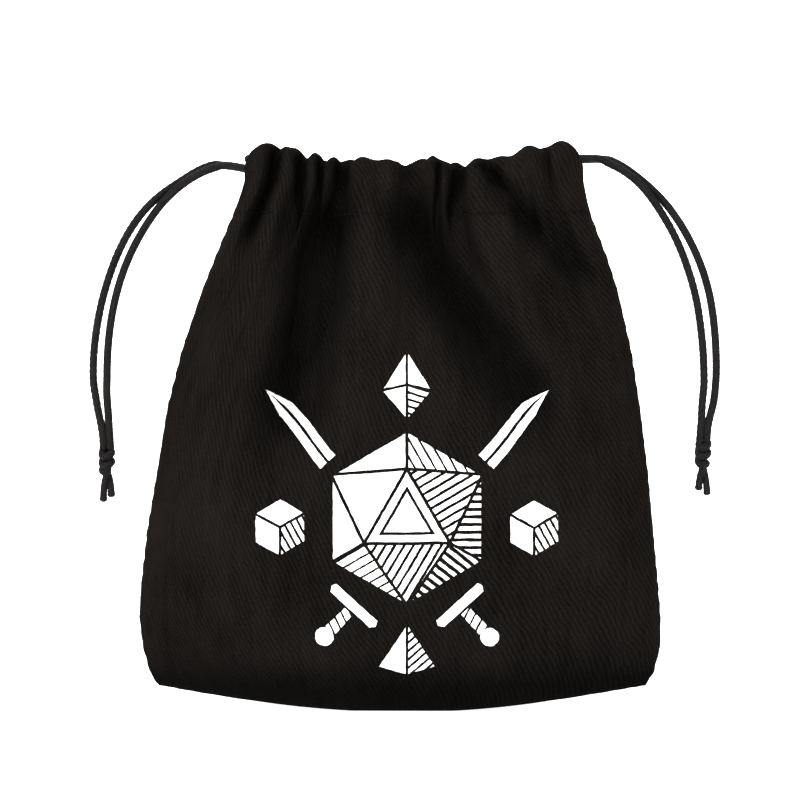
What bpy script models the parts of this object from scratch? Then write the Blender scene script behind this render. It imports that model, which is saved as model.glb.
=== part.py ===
"""A drawstring dice bag in black cotton twill, standing as if it held dice, with its neck half gathered.

Metres, +Z up. The origin is the middle of the base, and the printed front faces -Y.
Two panels are sewn together at the sides and along the bottom. Each panel's top is folded over into a
casing, and two cords run through both casings, one coming out at each side, where its ends are knotted.
"""

import math

import bmesh
import bpy
from mathutils import Matrix, Vector

# Driving dimensions
BAG_WIDTH = 0.155
BAG_DEPTH = 0.040
NECK_WIDTH = 0.098
NECK_SHIFT = 0.0035  # the gathered neck leans a little to the right of the base
CASING_LOW = 0.1473
CASING_HIGH = 0.1652
CASING_EAR = 0.0018  # how much higher the casing stands at its two ends
FABRIC = 0.0008
CORD_RADIUS = 0.0012
THREAD_RADIUS = 0.0002
GAP = 0.0003  # clearance between pieces that touch on the real bag

# Worked out from them
HALF_WIDTH = BAG_WIDTH / 2
HALF_DEPTH = BAG_DEPTH / 2
HALF_NECK = NECK_WIDTH / 2
PANEL_TOP = CASING_LOW - GAP
BELLY_HEIGHT = 0.035  # where the filled bag is deepest
BASE_HALF_DEPTH = 0.008  # the flat strip it stands on
NECK_HALF_DEPTH = 0.011
CORNER_LIFT = 0.0055  # the bottom corners curl up off the table
FLAT_SHARE = 0.40  # the middle share of the width that lies flat
SEAM_BOW = 0.0009

# The side outline: height in metres, and half-width as a share of the bag's half-width
SIDE_OUTLINE = (
    (0.0, 0.92),
    (0.0055, 0.942),
    (0.012, 0.982),
    (0.027, 1.0),
    (0.062, 0.948),
    (0.098, 0.879),
    (0.124, 0.787),
    (0.142, 0.702),
    (0.151, 0.641),
    (0.168, 0.632),
)

# The emblem on the front
EMBLEM_X, EMBLEM_Z = 0.002, 0.059
EMBLEM_DIE = 0.025
EMBLEM_TIP = 0.0545
EMBLEM_HILT = 0.044
EMBLEM_ARM_ANGLE = 0.16
INK = 0.0003

# Casings and cords
CASING_HALF = 0.0032  # half the casing's thickness, front to back
CASING_MIDDLE = 0.008  # how far the middle of each casing stands from the bag's mid-plane
CASING_REACH = 0.0515
FOLD_DEPTH = 0.0006
FOLD_COUNT = 9
LEFT_CORD_Z = 0.1586
RIGHT_CORD_Z = 0.1622
CORD_OUT = 0.0061  # how far outside the casing's end a cord starts to swing
STRAND_APART = 0.00138  # half the distance between a cord's two strands where they touch
DROP_TOP_Z = 0.098  # where a hanging cord turns straight down
DROP_X = {-1: -0.0884, 1: 0.0914}
KNOT_X = {-1: -0.0866, 1: 0.0896}
KNOT_TOP_Z = {-1: 0.0786, 1: 0.0806}
KNOT_LENGTH = 0.0092
KNOT_RADIUS = 0.0023
TIP_LENGTH = 0.0074
TIP_SPREAD = 0.0017
LEAD_END = 0.105  # share of the quarter bend that stays level with the neck


def smoothstep(t):
    t = min(max(t, 0.0), 1.0)
    return t * t * (3 - 2 * t)


def along(outline, t):
    """The value at t of the smooth curve through an outline's (t, value) points."""
    last = len(outline) - 1
    i = min(max(sum(1 for at, _ in outline if at <= t) - 1, 0), last - 1)
    (t0, v0), (t1, v1) = outline[i], outline[i + 1]
    before, after = outline[max(i - 1, 0)], outline[min(i + 2, last)]
    m0 = (v1 - before[1]) / (t1 - before[0])
    m1 = (after[1] - v0) / (after[0] - t0)
    h = t1 - t0
    u = min(max((t - t0) / h, 0.0), 1.0)
    return (
        (2 * u**3 - 3 * u**2 + 1) * v0
        + (u**3 - 2 * u**2 + u) * h * m0
        + (3 * u**2 - 2 * u**3) * v1
        + (u**3 - u**2) * h * m1
    )


def side_half_width(z):
    return HALF_WIDTH * along(SIDE_OUTLINE, z)


def lean(z):
    """How far the bag's middle stands to the right at this height."""
    return NECK_SHIFT * smoothstep((z - 0.05) / 0.1)


def half_depth(z):
    """Half the bag's depth in its middle: a flat base, a rounded belly, then a taper to the neck."""
    if z < BELLY_HEIGHT:
        rise = (1 - (1 - z / BELLY_HEIGHT) ** 2.5) ** (1 / 2.5)
        return BASE_HALF_DEPTH + (HALF_DEPTH - BASE_HALF_DEPTH) * rise
    fall = smoothstep((z - BELLY_HEIGHT) / (PANEL_TOP - BELLY_HEIGHT))
    return HALF_DEPTH + (NECK_HALF_DEPTH - HALF_DEPTH) * fall


def roundness(across):
    """The share of the full depth at a place across the width, from -1 to 1."""
    return (1 - min(abs(across), 1.0) ** 2.4) ** 0.62


def corner_lift(across):
    past = max(abs(across) - FLAT_SHARE, 0.0) / (1 - FLAT_SHARE)
    return CORNER_LIFT * past**1.6


def wall_point(across, share):
    """A point on the front wall's outer face: across from -1 to 1, share of the height from 0 to 1."""
    lift = corner_lift(across)
    z = lift + share * (PANEL_TOP - lift)
    x = lean(z) + side_half_width(z) * across
    y = -GAP / 2 - half_depth(share * PANEL_TOP) * roundness(across)
    return Vector((x, y, z))


def spaced(points, shares):
    """Points at the given shares of a polyline's length."""
    lengths = [0.0]
    for a, b in zip(points, points[1:]):
        lengths.append(lengths[-1] + (b - a).length)
    found = []
    for share in shares:
        at = share * lengths[-1]
        i = max(k for k in range(len(points) - 1) if lengths[k] <= at or k == 0)
        step = lengths[i + 1] - lengths[i]
        found.append(points[i].lerp(points[i + 1], min((at - lengths[i]) / step, 1.0) if step else 0.0))
    return found


# Scene helpers


def clear_scene():
    for obj in list(bpy.data.objects):
        bpy.data.objects.remove(obj)


def material(name, colour, roughness, metallic=0.0):
    made = bpy.data.materials.new(name)
    made.use_nodes = True
    shader = made.node_tree.nodes["Principled BSDF"]
    shader.inputs["Base Color"].default_value = (*colour, 1.0)
    shader.inputs["Roughness"].default_value = roughness
    shader.inputs["Metallic"].default_value = metallic
    return made


def group(name, place, parent=None):
    """An empty that carries the pieces of one moving body, on its joint's axis."""
    empty = bpy.data.objects.new(name, None)
    bpy.context.scene.collection.objects.link(empty)
    empty.parent = parent
    empty.location = Vector(place) - (world_place(parent) if parent else Vector())
    return empty


def world_place(empty):
    place = Vector()
    while empty is not None:
        place += empty.location
        empty = empty.parent
    return place


def add_object(name, data, finish, body):
    """Links an object whose data is in world coordinates, and hangs it on its body's empty."""
    obj = bpy.data.objects.new(name, data)
    bpy.context.scene.collection.objects.link(obj)
    data.materials.append(finish)
    data.transform(Matrix.Translation(-world_place(body)))
    obj.parent = body
    return obj


def mesh_from(name, points, faces):
    mesh = bpy.data.meshes.new(name)
    mesh.from_pydata([tuple(p) for p in points], [], faces)
    mesh.update()
    return mesh


def grid_faces(columns, rows, flip=False):
    """Quads of a grid whose points are listed column by column."""
    faces = []
    for i in range(columns - 1):
        for j in range(rows - 1):
            a, b = i * rows + j, (i + 1) * rows + j
            face = (a, b, b + 1, a + 1)
            faces.append(face[::-1] if flip else face)
    return faces


def loft(rings):
    """Points and faces of a closed solid through rings of equal count, capped at both ends."""
    count = len(rings[0])
    points = [p for ring in rings for p in ring]
    faces = [tuple(range(count))[::-1]]
    for i in range(len(rings) - 1):
        low, high = i * count, (i + 1) * count
        for k in range(count):
            after = (k + 1) % count
            faces.append((low + k, low + after, high + after, high + k))
    last = (len(rings) - 1) * count
    faces.append(tuple(last + k for k in range(count)))
    return points, faces


def facing_out(mesh):
    """Turns every face of a closed mesh outwards."""
    shape = bmesh.new()
    shape.from_mesh(mesh)
    bmesh.ops.recalc_face_normals(shape, faces=shape.faces)
    shape.to_mesh(mesh)
    shape.free()
    return mesh


def onto_plane(ring, tangent, plane):
    """Slides a ring's points along a cord until they lie on a plane, given as (point, normal)."""
    place, normal = plane
    return [p + tangent * ((place - p).dot(normal) / tangent.dot(normal)) for p in ring]


def cord(name, points, radius, finish, body, spokes=8, first_cut=None, last_cut=None):
    """A round cord along a path. Its ends are square, or cut to a plane given as (point, normal)."""
    last = len(points) - 1
    tangents = [(points[min(k + 1, last)] - points[max(k - 1, 0)]).normalized() for k in range(last + 1)]
    normal = tangents[0].cross(Vector((0.1, 0.3, 0.95))).normalized()
    rings = []
    for point, tangent in zip(points, tangents):
        normal = (normal - tangent * normal.dot(tangent)).normalized()
        other = tangent.cross(normal)
        angles = [2 * math.pi * (k + 0.5) / spokes for k in range(spokes)]
        rings.append([point + radius * (normal * math.cos(a) + other * math.sin(a)) for a in angles])
    if first_cut:
        rings[0] = onto_plane(rings[0], tangents[0], first_cut)
    if last_cut:
        rings[-1] = onto_plane(rings[-1], tangents[-1], last_cut)
    mesh = facing_out(mesh_from(name, *loft(rings)))
    mesh.shade_smooth()
    return add_object(name, mesh, finish, body)


# The bag


def seam_y(across, side):
    """Where a panel's base ends. The bottom seam bows a little behind the mid-plane in its middle."""
    bow = SEAM_BOW * max(1 - (across / 0.7) ** 2, 0.0)
    return side * -bow - GAP / 2


def panel(name, side, finish, body):
    """One panel, from the bottom seam round the base and up to the casing. Side is -1 in front, 1 behind."""
    columns, rows = 27, 24
    shares = [(j / (rows - 1)) ** 1.25 for j in range(rows)]
    outer = []
    for i in range(columns):
        across = math.sin(math.pi / 2 * (2 * i / (columns - 1) - 1))
        wall = [wall_point(across, (k / 60) ** 1.5) for k in range(61)]
        seam = Vector((wall[0].x, seam_y(across, side), wall[0].z))
        outer += spaced([seam, *wall], shares)
    sheet = mesh_from(name, outer, grid_faces(columns, rows))
    inner = [p - v.normal * FABRIC for p, v in zip(outer, sheet.vertices)]
    inner = [Vector((p.x, min(p.y, -GAP / 2), p.z)) for p in inner]
    bpy.data.meshes.remove(sheet)
    points = [Vector((p.x, -side * p.y, p.z)) for p in outer + inner]
    faces = grid_faces(columns, rows)
    faces += [tuple(v + len(outer) for v in face) for face in faces]
    rim = [i * rows for i in range(columns)] + [columns * rows - rows + j for j in range(1, rows)]
    rim += [i * rows + rows - 1 for i in reversed(range(columns - 1))] + [j for j in range(rows - 2, 0, -1)]
    for a, b in zip(rim, rim[1:] + rim[:1]):
        faces.append((a, b, b + len(outer), a + len(outer)))
    mesh = facing_out(mesh_from(name, points, faces))
    mesh.shade_smooth()
    return add_object(name, mesh, finish, body)


def seam_strip(name, rings, finish, body):
    points, faces = loft(rings)
    return add_object(name, facing_out(mesh_from(name, points, faces)), finish, body)


def side_seam(name, side, finish, body):
    """The two cut edges inside a side seam, pressed together as one strip."""
    reach_out, reach_in, half_thick = 0.0024, 0.0084, 0.0005
    rings = []
    for k in range(13):
        z = 0.012 + (0.144 - 0.012) * k / 12
        edge = side_half_width(z)
        outer = lean(z) + side * (edge - reach_out)
        inner = lean(z) + side * (edge - reach_in)
        corners = ((outer, -half_thick), (inner, -half_thick), (inner, half_thick), (outer, half_thick))
        rings.append([Vector((x, y, z)) for x, y in corners])
    return seam_strip(name, rings, finish, body)


def bottom_seam(name, finish, body):
    """The cut edges inside the bottom seam, standing up from the base."""
    low, high, half_thick, reach = FABRIC + 0.0005, 0.0078, 0.0005, 0.062
    rings = []
    for k in range(17):
        x = reach * (2 * k / 16 - 1)
        lift = corner_lift(x / side_half_width(CORNER_LIFT))
        corners = ((-half_thick, low), (half_thick, low), (half_thick, high), (-half_thick, high))
        rings.append([Vector((x, y, z + lift)) for y, z in corners])
    return seam_strip(name, rings, finish, body)


def neck_seam(name, side, finish, body):
    """The top end of a side seam, between the two casings, which moves in as the neck gathers."""
    outer, inner, half_thick = HALF_NECK - 0.002, HALF_NECK - 0.009, 0.0005
    low, high = CASING_LOW + 0.0012, CASING_LOW + 0.0065
    rings = []
    for z in (low, high):
        corners = ((outer, -half_thick), (inner, -half_thick), (inner, half_thick), (outer, half_thick))
        rings.append([Vector((NECK_SHIFT + side * x, y, z)) for x, y in corners])
    return seam_strip(name, rings, finish, body)


def casing_middle(across):
    """How far the middle of a casing stands from the mid-plane, at a place along the neck in metres."""
    return CASING_MIDDLE * (1 - (abs(across) / CASING_REACH) ** 4) ** 0.5


def gather(across):
    """The casing's soft folds, which die out towards its two ends."""
    fade = 1 - (across / HALF_NECK) ** 2
    return FOLD_DEPTH * fade * math.sin(math.pi * FOLD_COUNT * across / HALF_NECK)


def stadium(half_width, low, high, steps=5):
    """An upright slot shape as (outward, height) pairs."""
    found = []
    for centre, start in ((high - half_width, 0.0), (low + half_width, math.pi)):
        for k in range(steps + 1):
            angle = start + math.pi * k / steps
            found.append((half_width * math.cos(angle), centre + half_width * math.sin(angle)))
    return found


def casing(name, side, finish, body):
    """A folded hem, as a flat tunnel that is open at both ends for the cords."""
    stations = 55
    outer, inner = [], []
    for i in range(stations):
        across = HALF_NECK * (2 * i / (stations - 1) - 1)
        high = CASING_HIGH + CASING_EAR * (abs(across) / HALF_NECK) ** 4
        middle = side * (casing_middle(across) + gather(across))
        x = NECK_SHIFT + across
        for ring, wall in ((outer, 0.0), (inner, FABRIC)):
            slot = stadium(CASING_HALF - wall, CASING_LOW + wall, high - wall)
            ring.append([Vector((x, middle + out, z)) for out, z in slot])
    count = len(outer[0])
    points = [p for ring in outer + inner for p in ring]
    faces = []
    for i in range(stations - 1):
        for k in range(count):
            after = (k + 1) % count
            for base in (0, stations * count):
                low, high = base + i * count, base + (i + 1) * count
                faces.append((low + k, low + after, high + after, high + k))
    for end in (0, stations - 1):
        for k in range(count):
            after = (k + 1) % count
            a, b = end * count, (stations + end) * count
            faces.append((a + k, a + after, b + after, b + k))
    mesh = facing_out(mesh_from(name, points, faces))
    mesh.shade_smooth()
    return add_object(name, mesh, finish, body)


def casing_stitching(name, side, finish, body):
    """The row of stitches that closes a casing, as one thread that dips at each stitch."""
    up = 0.0013
    bulge = math.sqrt(CASING_HALF**2 - (CASING_HALF - up) ** 2)
    points = []
    steps = 96
    for k in range(steps + 1):
        across = (HALF_NECK - 0.002) * (2 * k / steps - 1)
        middle = casing_middle(across) + gather(across)
        dip = 0.00012 * math.cos(math.pi * k)
        y = side * (middle + bulge + GAP + THREAD_RADIUS + 0.0003 + dip)
        points.append(Vector((NECK_SHIFT + across, y, CASING_LOW + up - 0.0006)))
    return cord(name, points, THREAD_RADIUS, finish, body, spokes=4)


def print_outline(angle):
    """The emblem's edge: a six-sided die over two crossed swords, as a distance from its middle."""
    sector = (angle + math.pi / 6) % (math.pi / 3) - math.pi / 6
    die = EMBLEM_DIE * math.cos(math.pi / 6) / math.cos(sector)
    edge = die
    for arm, reach in ((0.72, EMBLEM_TIP), (-0.96, EMBLEM_HILT)):
        for middle in (arm, math.pi - arm):
            off = abs((angle - middle + math.pi) % (2 * math.pi) - math.pi)
            edge = max(edge, die + (reach - die) * (1 - off / EMBLEM_ARM_ANGLE))
    return edge


def front_face_y(x, z):
    """The front wall's outer face at a place on the front."""
    across = (x - lean(z)) / side_half_width(z)
    return wall_point(across, z / PANEL_TOP).y


def front_print(name, finish, body):
    """The printed emblem, as a thin layer that follows the front panel."""
    centre_x, centre_z = EMBLEM_X, EMBLEM_Z
    spokes, rings = 120, 9
    found = [[], []]
    for layer, out in enumerate((GAP + 0.0002, GAP + 0.0002 + INK)):
        found[layer].append(Vector((centre_x, front_face_y(centre_x, centre_z) - out, centre_z)))
        for r in range(1, rings + 1):
            for s in range(spokes):
                angle = 2 * math.pi * s / spokes
                reach = print_outline(angle) * r / rings
                x = centre_x + reach * math.cos(angle)
                z = centre_z + reach * math.sin(angle)
                found[layer].append(Vector((x, front_face_y(x, z) - out, z)))
    back_first = len(found[0])
    faces = []
    for base in (0, back_first):
        for s in range(spokes):
            after = (s + 1) % spokes
            faces.append((base, base + 1 + s, base + 1 + after))
            for r in range(rings - 1):
                low, high = base + 1 + r * spokes, base + 1 + (r + 1) * spokes
                faces.append((low + s, high + s, high + after, low + after))
    rim = 1 + (rings - 1) * spokes
    for s in range(spokes):
        after = (s + 1) % spokes
        faces.append((rim + s, rim + after, back_first + rim + after, back_first + rim + s))
    mesh = facing_out(mesh_from(name, found[0] + found[1], faces))
    return add_object(name, mesh, finish, body)


# The cords


def exit_point(side):
    """Where a cord leaves the neck. Side is -1 for the left cord and 1 for the right one."""
    x = NECK_SHIFT + side * (HALF_NECK + CORD_OUT)
    return Vector((x, 0.0, LEFT_CORD_Z if side < 0 else RIGHT_CORD_Z))


def hang_point(side, at):
    """The middle of a doubled cord: at 0 to 1 round its quarter bend, 1 to 2 down to the knot."""
    start = exit_point(side)
    if at <= 1:
        angle = at * math.pi / 2
        x = start.x + (DROP_X[side] - start.x) * math.sin(angle)
        return Vector((x, 0.0, start.z - (start.z - DROP_TOP_Z) * (1 - math.cos(angle))))
    down = at - 1
    x = DROP_X[side] + (KNOT_X[side] - DROP_X[side]) * smoothstep(down)
    return Vector((x, 0.0, DROP_TOP_Z + (KNOT_TOP_Z[side] + GAP - DROP_TOP_Z) * down))


def hang_direction(side, at):
    return (hang_point(side, at + 0.005) - hang_point(side, max(at - 0.005, 0.0))).normalized()


def strand_point(side, which, at):
    """One of the two strands: one behind the other at the neck, side by side in the bend."""
    across = hang_direction(side, min(at, 1.99)).cross(Vector((0, 1, 0)))
    apart = STRAND_APART + 0.00042 * smoothstep((at - 0.3) / 0.3) * (1 - smoothstep((at - 1.4) / 0.6))
    turn = math.pi / 2 * smoothstep((at - 0.15) / 0.4)
    offset = Vector((0, 1, 0)) * math.cos(turn) + across * (side * math.sin(turn))
    return hang_point(side, at) + offset * (which * apart)


def loop_y(along_neck):
    """How far a cord's loop stands from the mid-plane: inside the casing, then closing up outside it."""
    past = (abs(along_neck) - HALF_NECK) / (CORD_OUT - CORD_RADIUS - GAP)
    mouth = casing_middle(min(abs(along_neck), HALF_NECK))
    return mouth + (STRAND_APART - mouth) * smoothstep(past)


def cord_loop(name, side, finish, body):
    """The part of a cord inside both casings, and its turn round the neck's far end."""
    z = exit_point(side).z
    start = -(HALF_NECK + CORD_OUT - CORD_RADIUS - GAP)
    mouth = casing_middle(HALF_NECK)
    run = [start + (-HALF_NECK - start) * k / 5 for k in range(5)]
    run += [-HALF_NECK + NECK_WIDTH * k / 28 for k in range(29)]
    front = [(along_neck, loop_y(along_neck)) for along_neck in run]
    angles = [math.pi * k / 8 for k in range(1, 8)]
    turn = [(HALF_NECK + mouth * math.sin(a), mouth * math.cos(a)) for a in angles]
    back = [(along_neck, -y) for along_neck, y in reversed(front)]
    points = [Vector((NECK_SHIFT - side * x, -y, z)) for x, y in front + turn + back]
    return cord(name, points, CORD_RADIUS, finish, body)


def strand(name, side, which, start, end, steps, finish, body, first_cut=None, last_cut=None):
    points = [strand_point(side, which, start + (end - start) * k / steps) for k in range(steps + 1)]
    return cord(name, points, CORD_RADIUS, finish, body, first_cut=first_cut, last_cut=last_cut)


def knot(name, side, finish, body):
    """An overhand knot in both strands, as a turned barrel with a ridge for each wrap."""
    wraps, steps, spokes = 3, 12, 16
    rings = []
    for k in range(steps + 1):
        share = k / steps
        end = min(share, 1 - share) * 2
        ridge = 1 - 0.09 * math.cos(2 * math.pi * wraps * share)
        radius = KNOT_RADIUS * (0.62 + 0.38 * min(1.0, 2.2 * end)) * ridge
        z = KNOT_TOP_Z[side] - KNOT_LENGTH * share
        ring = []
        for s in range(spokes):
            angle = 2 * math.pi * s / spokes
            ring.append(Vector((KNOT_X[side] + radius * math.cos(angle), radius * math.sin(angle), z)))
        rings.append(ring)
    points, faces = loft(rings)
    mesh = facing_out(mesh_from(name, points, faces))
    mesh.shade_smooth()
    return add_object(name, mesh, finish, body)


def tip(name, side, which, finish, body):
    """A cord end below the knot, splayed a little to one side."""
    top = KNOT_TOP_Z[side] - KNOT_LENGTH - GAP
    points = []
    for k in range(6):
        share = k / 5
        x = KNOT_X[side] + which * (0.00138 + TIP_SPREAD * share**0.8)
        points.append(Vector((x, 0.0, top - TIP_LENGTH * share)))
    return cord(name, points, CORD_RADIUS, finish, body)


def build_cord(side, label, finish, bag):
    """One whole cord: the loop slides, its lead swings at the neck, and the hanging ends pay out."""
    pivot = exit_point(side)
    slider = group(f"{label}_cord_slider", pivot, bag)
    lead = group(f"{label}_cord_lead", pivot, slider)
    joint = hang_point(side, LEAD_END)
    pull = group(f"{label}_cord_pull_end", joint, lead)
    # The two parts of a strand slide past each other along this slanting plane.
    slant = Vector((side, 0, -1)).normalized()
    lead_cut, pull_cut = (joint - slant * GAP / 2, slant), (joint + slant * GAP / 2, slant)
    cord_loop(f"{label}_cord_loop", side, finish, slider)
    for which, where in ((-1, "front"), (1, "back")):
        strand(f"{label}_lead_{where}", side, which, 0.0, LEAD_END, 4, finish, lead, last_cut=lead_cut)
        strand(f"{label}_strand_{where}", side, which, LEAD_END, 2.0, 34, finish, pull, first_cut=pull_cut)
        tip(f"{label}_tip_{where}", side, which, finish, pull)
    knot(f"{label}_knot", side, finish, pull)


def main():
    clear_scene()
    twill = material("black twill", (0.014, 0.012, 0.012), 0.95)
    seam = material("raw seam edge", (0.020, 0.018, 0.018), 1.0)
    thread = material("black thread", (0.018, 0.017, 0.018), 0.6)
    braid = material("black braided cord", (0.022, 0.021, 0.023), 0.55)
    ink = material("white ink", (0.86, 0.86, 0.84), 0.7)
    bag = group("bag", (0, 0, 0))
    for side, label in ((-1, "front"), (1, "back")):
        panel(f"{label}_panel", side, twill, bag)
        casing(f"{label}_casing", side, twill, bag)
        casing_stitching(f"{label}_casing_stitching", side, thread, bag)
    for side, label in ((-1, "left"), (1, "right")):
        side_seam(f"{label}_side_seam", side, seam, bag)
        gathered = group(f"{label}_neck_end", (NECK_SHIFT + side * HALF_NECK, 0, CASING_LOW), bag)
        neck_seam(f"{label}_neck_seam", side, seam, gathered)
        build_cord(side, label, braid, bag)
    bottom_seam("bottom_seam", seam, bag)
    front_print("front_print", ink, bag)


main()
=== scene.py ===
"""A drawstring dice bag in black cotton twill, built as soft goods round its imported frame."""

import math

import bmesh
import bpy
import numpy as np
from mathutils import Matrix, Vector
from mathutils.bvhtree import BVHTree


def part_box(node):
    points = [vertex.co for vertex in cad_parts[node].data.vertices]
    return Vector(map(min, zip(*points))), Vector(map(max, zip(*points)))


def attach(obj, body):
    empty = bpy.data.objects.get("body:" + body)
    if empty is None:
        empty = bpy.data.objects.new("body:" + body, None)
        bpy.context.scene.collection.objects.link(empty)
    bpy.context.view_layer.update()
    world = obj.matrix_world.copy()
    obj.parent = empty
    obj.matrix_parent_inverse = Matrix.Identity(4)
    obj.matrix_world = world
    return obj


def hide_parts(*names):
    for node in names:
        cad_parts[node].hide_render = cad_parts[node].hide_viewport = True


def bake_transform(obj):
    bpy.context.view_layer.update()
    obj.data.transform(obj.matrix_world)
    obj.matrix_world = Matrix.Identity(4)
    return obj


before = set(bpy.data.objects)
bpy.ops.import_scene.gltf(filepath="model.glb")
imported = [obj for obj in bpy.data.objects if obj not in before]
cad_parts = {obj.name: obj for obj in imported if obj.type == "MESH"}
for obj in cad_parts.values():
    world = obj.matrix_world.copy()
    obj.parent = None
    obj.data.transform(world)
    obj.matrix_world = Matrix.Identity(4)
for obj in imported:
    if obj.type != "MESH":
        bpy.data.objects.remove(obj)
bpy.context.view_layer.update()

MM = 0.001

# Places taken from the frame
casing_low, casing_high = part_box("front_casing")
panel_low, panel_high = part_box("front_panel")
CENTRE = (casing_low.x + casing_high.x) / 2  # middle of the gathered neck
HALF_NECK = (casing_high.x - casing_low.x) / 2
HALF_BAG = (panel_high.x - panel_low.x) / 2
HALF_DEPTH = 20 * MM
NECK_DEPTH = 11.5 * MM  # half the bag's depth at the stitch row
BASE_DEPTH = 7 * MM  # half the depth of the flat base
BELLY_Z = 36 * MM  # the height where the bag is deepest
STITCH_Z = casing_low.z - 1 * MM  # the row of stitches under the casing
TOP_Z = casing_high.z

# The cloth grid
COLUMNS = 121  # across one panel
BODY_ROWS = 101  # bottom seam to stitch row
STITCH_ROW = BODY_ROWS - 1
MIDDLE = COLUMNS - 1  # of a finished panel, which has twice the columns
SIM_SCALE = 10.0  # the solver behaves best near metre size
SIM_FRAMES = 30
SOLVER = {
    "vertex_group_mass": "held", "quality": 5, "mass": 0.25, "use_pressure": True,
    "uniform_pressure_force": 0.6, "tension_stiffness": 30, "compression_stiffness": 30,
    "shear_stiffness": 12, "bending_stiffness": 3.0, "tension_damping": 10, "compression_damping": 10,
    "shear_damping": 10, "bending_damping": 2.0, "air_damping": 6,
}  # fmt: skip
MOST_MOVE = 14 * MM  # the farthest that the solver may carry a point
FABRIC = 0.6 * MM  # thickness of the cloth
WALL_ROWS, FOLD_ROWS, LINING_ROWS = 11, 8, 9  # of a casing, above the stitch row

# Left and right edges of the bag at each height in mm, as shares of its half-width
OUTLINE = np.array([
    (0, -0.880, 0.895), (6, -0.925, 0.940), (10, -0.960, 0.975), (18, -0.988, 1.000), (27, -1.000, 1.000),
    (36, -0.993, 0.990), (53, -0.967, 0.968), (71, -0.925, 0.945), (89, -0.887, 0.915), (106, -0.830, 0.880),
    (124, -0.750, 0.825), (133, -0.703, 0.787), (142, -0.655, 0.742), (147, -0.625, 0.714),
    (152, -0.590, 0.691), (156, -0.580, 0.684), (170, -0.582, 0.681),
])  # fmt: skip


def smooth(t):
    """An S-shaped step from 0 to 1."""
    t = np.clip(t, 0, 1)
    return t * t * (3 - 2 * t)


def lengths(points):
    """How far along a path each of its points is."""
    return np.concatenate([[0], np.cumsum(np.linalg.norm(np.diff(points, axis=0), axis=1))])


def edges_at(z):
    """Left and right edges of the bag at a height."""
    mm = np.asarray(z) / MM
    return (HALF_BAG * np.interp(mm, OUTLINE[:, 0], OUTLINE[:, k]) for k in (1, 2))


# Gathers at the neck, each a recess between two folds: its place along the neck at the stitch row in mm,
# half-width, depth, and how far it leans to the right for each mm it rises
FRONT_RECESSES = (
    (-42.0, 2.3, 5.6, 0.14), (-32.4, 2.1, 6.0, 0.02), (-26.9, 1.3, 4.6, 0.0), (-20.8, 2.6, 6.4, 0.02),
    (-10.0, 3.0, 0.7, 0.0), (0.0, 3.9, 6.6, -0.10), (6.8, 1.0, 2.4, 0.0), (12.2, 2.8, 6.2, 0.10),
    (30.0, 3.2, 6.2, -0.75), (40.0, 1.6, 2.0, -0.15),
)  # fmt: skip
BACK_RECESSES = (
    (-42.5, 2.0, 4.2, 0.0), (-35.5, 1.7, 5.2, 0.1), (-25.5, 2.5, 5.6, -0.2), (-16.5, 1.5, 3.0, 0.0),
    (-10.0, 2.1, 5.4, 0.1), (-3.0, 1.5, 4.0, 0.0), (8.0, 2.9, 6.0, 0.15), (16.5, 1.7, 4.8, 0.0),
    (22.0, 1.3, 2.4, 0.0), (30.5, 2.4, 5.8, -0.25), (37.5, 1.7, 4.2, 0.0), (43.5, 1.4, 2.6, 0.0),
)  # fmt: skip
# Lumps along the top edge: place along the neck in mm, half-width and height
FRONT_LUMPS = (
    (-43.5, 3.6, 1.0), (-36.0, 2.4, 1.4), (-29.6, 1.8, 1.8), (-23.8, 1.5, 1.2), (-15.5, 3.2, 1.3),
    (-7.5, 3.0, 0.9), (6.0, 2.0, 2.0), (18.5, 3.0, 1.8), (26.0, 2.6, 0.9), (34.5, 3.4, 2.2), (45.0, 3.0, 1.6),
)  # fmt: skip
BACK_LUMPS = (
    (-46.0, 2.8, 1.2), (-39.0, 2.2, 1.6), (-30.0, 3.0, 1.9), (-19.0, 3.0, 1.2), (-6.0, 2.4, 1.3),
    (3.0, 3.0, 1.5), (12.5, 2.4, 1.3), (25.0, 3.2, 1.2), (34.0, 2.6, 1.6), (45.0, 2.8, 1.3),
)  # fmt: skip
RIDGE = 6.6 * MM  # how far the folds between the recesses stand out past the cords
CORD_ROOM = 1.95 * MM  # from a cord's middle to the nearest cloth
CORD_REACH = 6 * MM  # of a casing's middle from the mid-plane, away from its ends
END_REACH = 51.5 * MM  # where both casings' middles would meet, along the neck
fine = np.linspace(-1, 1, 4001)


def casing_middle(x):
    """How far a casing's middle stands from the mid-plane, at a place along the neck."""
    return CORD_REACH * np.sqrt(np.clip(1 - (np.abs(x) / END_REACH) ** 6, 0, 1))


def pleat(x, recesses, rise=0.0):
    """How far the folds stand out past the cords, along the neck and a little above its stitches."""
    mm = x / MM
    out = RIDGE * (0.88 + 0.12 * np.sin(mm * 0.41 + 1.0))
    for place, width, depth, leaning in recesses:
        out = out - depth * MM * np.exp(-np.abs((mm - place - leaning * rise / MM) / width) ** 3.2)
    ends = smooth((HALF_NECK - np.abs(x)) / (9 * MM))
    return np.maximum(out, 0.15 * MM) * (0.42 + 0.58 * ends)


def evenly(points, count):
    """The same path with evenly spaced points, and how far along it each of them is."""
    length = lengths(points)
    at = np.linspace(0, length[-1], count)
    return np.stack([np.interp(at, length, k) for k in points.T], 1), at


def neck_curve(recesses):
    """Plan of the gathered cloth at the stitch row: along the neck, out from it, and its length."""
    x = fine * HALF_NECK
    plan, at = evenly(np.stack([x, casing_middle(x) + CORD_ROOM + pleat(x, recesses)], 1), COLUMNS)
    return *plan.T, at[-1]


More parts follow.
